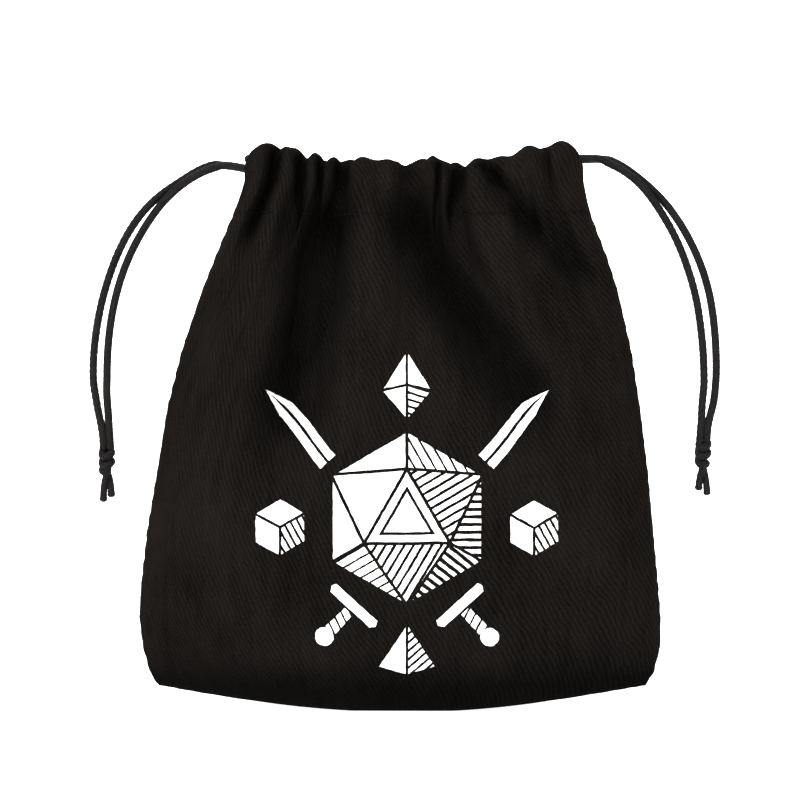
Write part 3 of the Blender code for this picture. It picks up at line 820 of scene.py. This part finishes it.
def big_die():
    """A twenty-sided die seen face on, lit from its upper left: solid facets, then hatched ones."""
    inner, outer = ring_of(3, 14.2), ring_of(6, 25)
    corners = np.concatenate([inner, outer])
    found = []
    frame_outside, frame_inside = inset(inner, 0.5), inset(inner, 2.4)
    for k in range(3):
        n = (k + 1) % 3
        found.append(np.array([frame_outside[k], frame_outside[n], frame_inside[n], frame_inside[k]]))
    found.append(inset(inner, 3.3))
    for facet in ((0, 8, 3), (2, 8, 0), (2, 7, 8)):
        found.append(inset(corners[list(facet)], 0.5))
    hatched = (
        ((0, 3, 4), 0.52, 2.5, 0.74), ((0, 4, 1), 2.10, 2.3, 0.62), ((1, 4, 5), 1.57, 2.2, 0.50),
        ((1, 5, 6), 0.90, 2.2, 0.46), ((1, 6, 2), 2.60, 2.3, 0.62), ((2, 6, 7), 2.10, 2.5, 0.74),
    )  # fmt: skip
    for facet, angle, spacing, filled in hatched:
        found += stripes(inset(corners[list(facet)], 0.5), angle, spacing, filled)
    return found


def sword(mirror):
    """One sword behind the die: its blade above, and its guard, grip and pommel below."""
    crossing, tip = np.array([0.0, -8.6]), np.array([41.0, 36.0])
    along = (tip - crossing) / np.linalg.norm(tip - crossing)
    across = np.array([along[1], -along[0]])

    def place(*points):
        """Points from their places along and across the sword."""
        return np.array([crossing + along * a + across * b for a, b in points]) * (mirror, 1)

    found = []
    for edge in (-1, 1):
        blade = (33.5, 0.45), (33.5, 2.9), (52.5, 2.5), (60.6, 0.0), (52.0, 0.45)
        guard = (-21.2, 0.0), (-21.2, 8.0), (-22.6, 8.6), (-24.0, 7.6), (-24.0, 0.0)
        found += [place(*((a, b * edge) for a, b in outline)) for outline in (blade, guard)]
    grip = place((-24.7, 1.5), (-24.7, -1.5), (-32.6, -1.7), (-32.6, 1.7))
    found += stripes(grip, 0.45 if mirror > 0 else -0.45, 2.3, 0.74)
    found.append(ring_of(14, 2.7, (crossing - along * 35.2) * (mirror, 1)))
    return found


def small_dice():
    """An eight-sided die above, a four-sided one below and a cube on each side, darker facets hatched."""
    found = []
    for mirror in (-1, 1):
        high, low, under = (
            inset(np.array(corners) * (mirror, 1) + (0, middle), 0.42)
            for corners, middle in (
                (((0.0, 10.2), (0.0, 0.0), (7.4, -1.6)), 38),
                (((0.0, -10.2), (0.0, 0.0), (7.4, -1.6)), 38),
                (((0.0, 9.0), (0.0, -7.0), (8.6, -4.4)), -39),
            )
        )
        found.append(high)
        found += [low] if mirror < 0 else stripes(low, 1.27, 1.9, 0.6)
        found += [under] if mirror < 0 else stripes(under, 2.3, 1.9, 0.6)
        middle = np.array([36.5 * mirror, -3.0])
        corners = ring_of(6, 8.4, middle)
        for number, k in enumerate((5, 1, 3)):
            rhomb = inset(np.array([middle, corners[k], corners[(k + 1) % 6], corners[(k + 2) % 6]]), 0.42)
            found += [rhomb] if number != 1 else stripes(rhomb, 0.5, 1.9, 0.6)
    return found


EMBLEM = (2 * MM, 59 * MM)  # its middle
CELL = 1.5  # mm, small enough for the ink to follow the cloth


def cells(polygon):
    """A convex polygon cut along the lines of a square grid."""
    found = []
    low, high = np.floor(polygon.min(0) / CELL), np.ceil(polygon.max(0) / CELL)
    for i in np.arange(low[0], high[0]):
        column = band(polygon, (1, 0), i * CELL, (i + 1) * CELL)
        found += [band(column, (0, 1), j * CELL, (j + 1) * CELL) for j in np.arange(low[1], high[1])]
    return [cell for cell in found if len(cell)]


def print_mesh(name, polygons, surface):
    """The emblem pressed onto the front panel as a thin closed skin of ink with slightly rough edges."""
    index, flat, faces = {}, [], []
    for polygon in polygons:
        for cell in cells(polygon):
            turn = np.cross(cell[1] - cell[0], cell[2] - cell[1])
            corners = []
            for x, z in cell if turn > 0 else cell[::-1]:
                k = index.setdefault((round(x, 4), round(z, 4)), len(index))
                if k == len(flat):
                    flat.append((x, z))
                if k not in corners:
                    corners.append(k)
            if len(corners) > 2:
                faces.append(corners)
    edges = {(f[k - 1], f[k]) for f in faces for k in range(len(f))}
    border = sorted((a, b) for a, b in edges if (b, a) not in edges)
    flat = np.array(flat)
    rough = np.random.default_rng(7).normal(0, 0.05, flat.shape)
    on_border = sorted({a for edge in border for a in edge})
    flat[on_border] += rough[on_border]
    x, z = flat[:, 0] * MM + EMBLEM[0], flat[:, 1] * MM + EMBLEM[1]
    y = np.array([surface.ray_cast(Vector((a, -0.2, b)), Vector((0, 1, 0)))[0].y for a, b in zip(x, z)])
    count = len(flat)
    points = np.concatenate([np.stack([x, y - 0.13 * MM, z], 1), np.stack([x, y + 0.10 * MM, z], 1)])
    closed = faces + [[k + count for k in face[::-1]] for face in faces]
    closed += [[b, a, a + count, b + count] for a, b in border]
    uv = np.stack([x, z], 1)
    piece = solid(name, [(points, closed, np.concatenate([uv, uv]))])
    piece.data.set_sharp_from_angle(angle=math.radians(50))
    return piece


# Materials. Every piece carries a UV map of its own cloth, cord or ink in metres


def fill(node, inputs):
    """Sets a node's inputs, each to a plain value or to the output of another node."""
    for socket, value in inputs.items():
        if isinstance(value, bpy.types.NodeSocket):
            node.id_data.links.new(value, node.inputs[socket])
        else:
            node.inputs[socket].default_value = value


def added(tree, kind, output, inputs, **settings):
    """One output of a new shader node."""
    node = tree.nodes.new("ShaderNode" + kind)
    for name, value in settings.items():
        setattr(node, name, value)
    fill(node, inputs)
    return node.outputs[output]


def mapped(source, turn=0.0, scale=(1, 1, 1)):
    """Turned and scaled coordinates."""
    return added(source.id_data, "Mapping", 0, {"Vector": source, "Rotation": (0, 0, turn), "Scale": scale})


def nodes_of(name):
    """A new material, its shader and the fabric coordinates in mm."""
    made = bpy.data.materials.new(name)
    made.use_nodes = True
    tree = made.node_tree
    uv = added(tree, "UVMap", 0, {}, uv_map="fabric")
    return made, tree.nodes["Principled BSDF"], mapped(uv, scale=(1000, 1000, 1000))


def sum_of(*terms):
    """A sum of outputs, each with its weight, plus a last plain number."""
    total = terms[-1]
    for value, weight in terms[:-1]:
        total = added(value.id_data, "Math", 0, {0: value, 1: weight, 2: total}, operation="MULTIPLY_ADD")
    return total


def product(one, other):
    """Two outputs multiplied."""
    return added(one.id_data, "Math", 0, {0: one, 1: other}, operation="MULTIPLY")


def ramp(factor, *stops):
    """A colour that runs from stop to stop with a factor."""
    colour = added(factor.id_data, "ValToRGB", 0, {0: factor})
    elements = colour.node.color_ramp.elements
    while len(elements) < len(stops):
        elements.new(0.5)
    for element, (place, stop) in zip(elements, stops):
        element.position = place
        element.color = (*stop, 1)
    return colour


def layered(kind, base, top, amount):
    """One colour laid over another."""
    inputs = {"Factor": amount, 6: base, 7: top}
    return added(base.id_data, "Mix", 2, inputs, data_type="RGBA", blend_type=kind)


def painted_fold_shade(tree):
    """Painted shade: a grey from ambient occlusion that darkens the colour in deep folds."""
    open_share = added(tree, "AmbientOcclusion", "AO", {"Distance": 26 * MM}, samples=8)
    return ramp(open_share, (0.52, (0.40, 0.40, 0.40)), (0.90, (1, 1, 1)))


def ribs(mm, turn, spacing, wobble):
    """Even ridges across a turned direction, from 0 to 1."""
    scale = 2 * math.pi / (20 * spacing)
    inputs = {"Vector": mapped(mm, turn=turn), "Scale": scale, "Distortion": wobble, "Detail": 2.0}
    return added(mm.id_data, "TexWave", "Fac", inputs | {"Detail Scale": 1.0})


def noise(mm, scale, detail=3.0, stretch=(1, 1, 1)):
    """Soft mottling from 0 to 1."""
    inputs = {"Vector": mapped(mm, scale=stretch), "Scale": scale, "Detail": detail, "Roughness": 0.6}
    return added(mm.id_data, "TexNoise", "Fac", inputs)


def wandering(mm):
    """The same coordinates with the slight waver of handled cloth."""
    waver = added(mm.id_data, "TexNoise", "Color", {"Vector": mm, "Scale": 0.07, "Detail": 3.0})
    return added(mm.id_data, "VectorMath", 0, {0: waver, 1: (3.4, 3.4, 0), 2: mm}, operation="MULTIPLY_ADD")


def finish(shader, colour, rough, specular, sheen=0.0, tint=(1, 1, 1)):
    """Sets a surface's colour, roughness, shine and nap."""
    fill(shader, {"Base Color": colour, "Roughness": rough, "Specular IOR Level": specular})
    fill(shader, {"Sheen Weight": sheen, "Sheen Roughness": 0.5, "Sheen Tint": (*tint, 1)})


def bump(shader, height, distance):
    """Gives a surface a fine relief."""
    fill(shader, {"Normal": added(height.id_data, "Bump", 0, {"Distance": distance, "Height": height})})


RIB, YARN = 1.25, 0.58  # mm from one twill rib to the next, and from one yarn to the next
RIB_TURN = math.radians(-25)
YARN_TURN = math.radians(62)


def twill(name, dark, light, frayed=0.0):
    """Cotton twill: slanting ribs, the yarns that make them, fuzz, lint and paler worn patches, with painted
    shade in its deep folds.
    """
    made, shader, mm = nodes_of(name)
    loose = wandering(mm)
    rib = ribs(loose, RIB_TURN, RIB, 0.6)
    yarn = ribs(loose, YARN_TURN, YARN, 0.9)
    fuzz = noise(mm, 2.4, 4.0)
    worn = noise(mm, 0.045, 3.0, (1, 0.6, 1))
    slub = noise(mm, 0.5, 2.0, (1, 0.12, 1))
    lint = noise(mm, 1.1, 1.0)
    broken = product(rib, noise(mm, 0.9, 4.0))
    tone = sum_of((broken, 0.50), (yarn, 0.10), (fuzz, 0.80), (worn, 0.60), (slub, 0.30), -0.56)
    base = ramp(tone, (0.12, dark), (0.90, light))
    flecks = ramp(lint, (0.80 - frayed, (0, 0, 0)), (0.84, (0.9, 0.85, 0.8)))
    specked = layered("ADD", base, flecks, 0.02)
    # The colour is multiplied by painted shade in the deep folds.
    finish(shader, layered("MULTIPLY", specked, painted_fold_shade(mm.id_data), 1.0), 1.0, 0.0, 0.005, (1.0, 0.90, 0.82))
    bump(shader, sum_of((broken, 0.55), (yarn, 0.16), (fuzz, 0.80), 0.0), 0.00018)
    return made


def braid(name, dark, light):
    """Polyester braid: fine threads along each carrier, a soft shine, painted glints in its colour and rubbed
    places.
    """
    made, shader, mm = nodes_of(name)
    one, other = (ribs(mm, math.radians(k), 0.22, 0.4) for k in (38, -38))
    rubbed = noise(mm, 0.16, 3.0)
    # Painted highlights: glints laid into the base colour as bright specks.
    painted_glints = noise(mm, 1.5, 2.0)
    tone = sum_of((one, 0.28), (other, 0.28), (rubbed, 0.5), (painted_glints, 1.5), -0.82)
    finish(shader, ramp(tone, (0.1, dark), (0.9, light)), 0.55, 0.03, 0.001)
    bump(shader, sum_of((one, 0.5), (other, 0.5), 0.0), 0.00005)
    return made


def thread(name, dark, light):
    """Twisted sewing thread."""
    made, shader, mm = nodes_of(name)
    twist = ribs(mm, math.radians(55), 0.30, 0.2)
    finish(shader, ramp(twist, (0.0, dark), (1.0, light)), 0.75, 0.02)
    bump(shader, twist, 0.00006)
    return made


def ink(name):
    """White screen ink over twill: the ribs show through, and it has worn thin in small spots."""
    made, shader, mm = nodes_of(name)
    rib = ribs(mm, RIB_TURN, RIB, 0.6)
    yarn = ribs(mm, YARN_TURN, YARN, 0.9)
    fuzz = noise(mm, 2.0, 4.0)
    aged = noise(mm, 0.09, 2.0)
    thin = sum_of((rib, 0.20), (yarn, 0.10), (fuzz, 0.75), (aged, 0.25), 0.0)
    bare, worn = (0.10, 0.095, 0.09), (0.62, 0.61, 0.59)
    sound, bright = (0.84, 0.83, 0.81), (0.92, 0.91, 0.89)
    finish(shader, ramp(thin, (0.38, bare), (0.47, worn), (0.62, sound), (1.0, bright)), 0.80, 0.2)
    bump(shader, sum_of((rib, 0.6), (fuzz, 0.4), 0.0), 0.00012)
    return made


def pale(name, colour):
    """A matt, faintly mottled studio surface. Its glow is mostly for the camera, so it lights little."""
    made, shader, mm = nodes_of(name)
    light = tuple(min(1, k * 1.02) for k in colour)
    mottled = ramp(noise(mm, 0.01, 3.0), (0.2, colour), (0.8, light))
    seen = added(mm.id_data, "LightPath", "Is Camera Ray", {})
    glow = added(mm.id_data, "MapRange", 0, {"Value": seen, "To Min": 0.18, "To Max": 0.85})
    fill(shader, {"Emission Color": mottled, "Emission Strength": glow})
    finish(shader, mottled, 0.9, 0.1)
    return made


black_twill = twill("black twill", (0.0008, 0.00070, 0.00061), (0.0082, 0.0071, 0.0062))
raw_twill = twill("raw twill edge", (0.0020, 0.0016, 0.0015), (0.0180, 0.0150, 0.0130), 0.05)
black_braid = braid("black braid", (0.0014, 0.0012, 0.0011), (0.0115, 0.0104, 0.0102))
black_thread = thread("black thread", (0.0008, 0.0007, 0.0006), (0.0045, 0.0038, 0.0034))
white_ink = ink("white ink")


# The bag
grids, rests = start_grids()
front_grid, back_grid = simulate(grids, rests)
front_grid, front_rest = dress(front_grid, rests[0], -1, FRONT_FOLDS)
back_grid, back_rest = dress(back_grid, rests[1], 1, BACK_FOLDS)


def neck_blend(piece):
    """Bakes a piece's placement into its mesh."""
    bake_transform(piece)


def cloth_piece(name, grid, rest, side, half, *nodes):
    """The left or right half of a panel with its casing."""
    first, last = (0, MIDDLE) if half < 0 else (MIDDLE, 2 * MIDDLE)
    piece = shell(name, grid, rest, side, first, last)
    neck_blend(piece)
    outfit(piece, black_twill, "twill", *nodes)


def stitch_piece(name, grid, side, half, node):
    """Half of the row of stitches under a casing."""
    normals = grid_normals(grid, side)
    span = slice(0, MIDDLE + 1) if half < 0 else slice(MIDDLE, None)
    piece = solid(name, stitch_parts(grid[STITCH_ROW, span], normals[STITCH_ROW, span]))
    neck_blend(piece)
    outfit(piece, black_thread, "thread", node)


def seam_allowances():
    """The raw edges inside the bag, along its bottom seam and both side seams."""
    bottom = ((front_grid[0] + back_grid[0]) / 2)[14:-14] + [0, 0, ALLOWANCE_DEPTH]
    strip = ribbon("bottom_seam_allowance", bottom, (0, 0, 1), 0.21)
    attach(strip, "bag")
    outfit(strip, raw_twill, "raw_edge", "bottom_seam")
    for side, word in ((-1, "left"), (1, "right")):
        edge = front_grid[6 : STITCH_ROW + 5 : 2, 0 if side < 0 else -1] * (1, 0, 1)
        edge[:, 0] -= side * ALLOWANCE_DEPTH
        strip = ribbon(f"{word}_seam_allowance", edge, (-side, 0, 0), 0.19)
        neck_blend(strip)
        outfit(strip, raw_twill, "raw_edge", f"{word}_side_seam", f"{word}_neck_seam")


for half, word in ((-1, "left"), (1, "right")):
    for side, face, grid, rest in ((-1, "front", front_grid, front_rest), (1, "back", back_grid, back_rest)):
        cloth_piece(f"{face}_cloth_{word}", grid, rest, side, half, f"{face}_panel", f"{face}_casing")
        stitch_piece(f"{face}_stitches_{word}", grid, side, half, f"{face}_casing_stitching")
    cord_pieces(half, word)
seam_allowances()

front_faces = quads(np.arange(front_grid[..., 0].size).reshape(front_grid.shape[:2]), False)
front_surface = BVHTree.FromPolygons(front_grid.reshape(-1, 3).tolist(), front_faces.tolist())
emblem = print_mesh("front_emblem", big_die() + sword(1) + sword(-1) + small_dice(), front_surface)
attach(emblem, "bag")
outfit(emblem, white_ink, "ink", "front_print")


def floor():
    """A studio floor that curves up into a wall behind the bag."""
    curve = [(0.55 + 0.5 * math.sin(a), 0.5 - 0.5 * math.cos(a)) for a in np.linspace(0, 1.5, 16)]
    rows = [(-40, 0), (-3, 0), *curve, (1.08, 4)]
    points = np.array([(x, y, z) for y, z in rows for x in (-40, 40)])
    faces = [[2 * k, 2 * k + 1, 2 * k + 3, 2 * k + 2] for k in range(len(rows) - 1)]
    made = solid("floor", [(points, faces, points[:, :2])])
    made.data.materials.append(pale("pale floor", (0.93, 0.93, 0.93)))


def lights():
    """A key light from above, one at each side that rakes across the folds, and one behind."""
    world = bpy.data.worlds.new("studio")
    bpy.context.scene.world = world
    world.use_nodes = True
    fill(world.node_tree.nodes["Background"], {"Color": (1, 1, 1, 1), "Strength": 0.10})
    for name, place, size, power in (
        ("key", (-0.20, -0.45, 1.15), 0.40, 21.5),
        ("left", (-1.05, -0.75, 0.14), 0.40, 30.5),
        ("right", (1.05, -0.75, 0.14), 0.40, 25),
        ("back", (0.0, 0.75, 1.1), 1.0, 18),
    ):
        data = bpy.data.lights.new(name, "AREA")
        data.energy, data.size = power, size
        lamp = link(name, data)
        lamp.location = place
        lamp.rotation_euler = (Vector((0, 0, 0.08)) - Vector(place)).to_track_quat("-Z", "Y").to_euler()


def camera():
    """The photo's view: from the front and a little above."""
    lens = bpy.data.cameras.new("camera")
    lens.lens = 90
    made = link("camera", lens)
    tilt, distance = math.radians(4), 0.59
    away = Vector((0, -math.cos(tilt), math.sin(tilt)))
    made.location = Vector((0, 0, 0.0915)) + away * distance
    made.rotation_euler = (-away).to_track_quat("-Z", "Y").to_euler()
    bpy.context.scene.camera = made
    bpy.context.scene.view_settings.view_transform = "Standard"


floor()
lights()
camera()
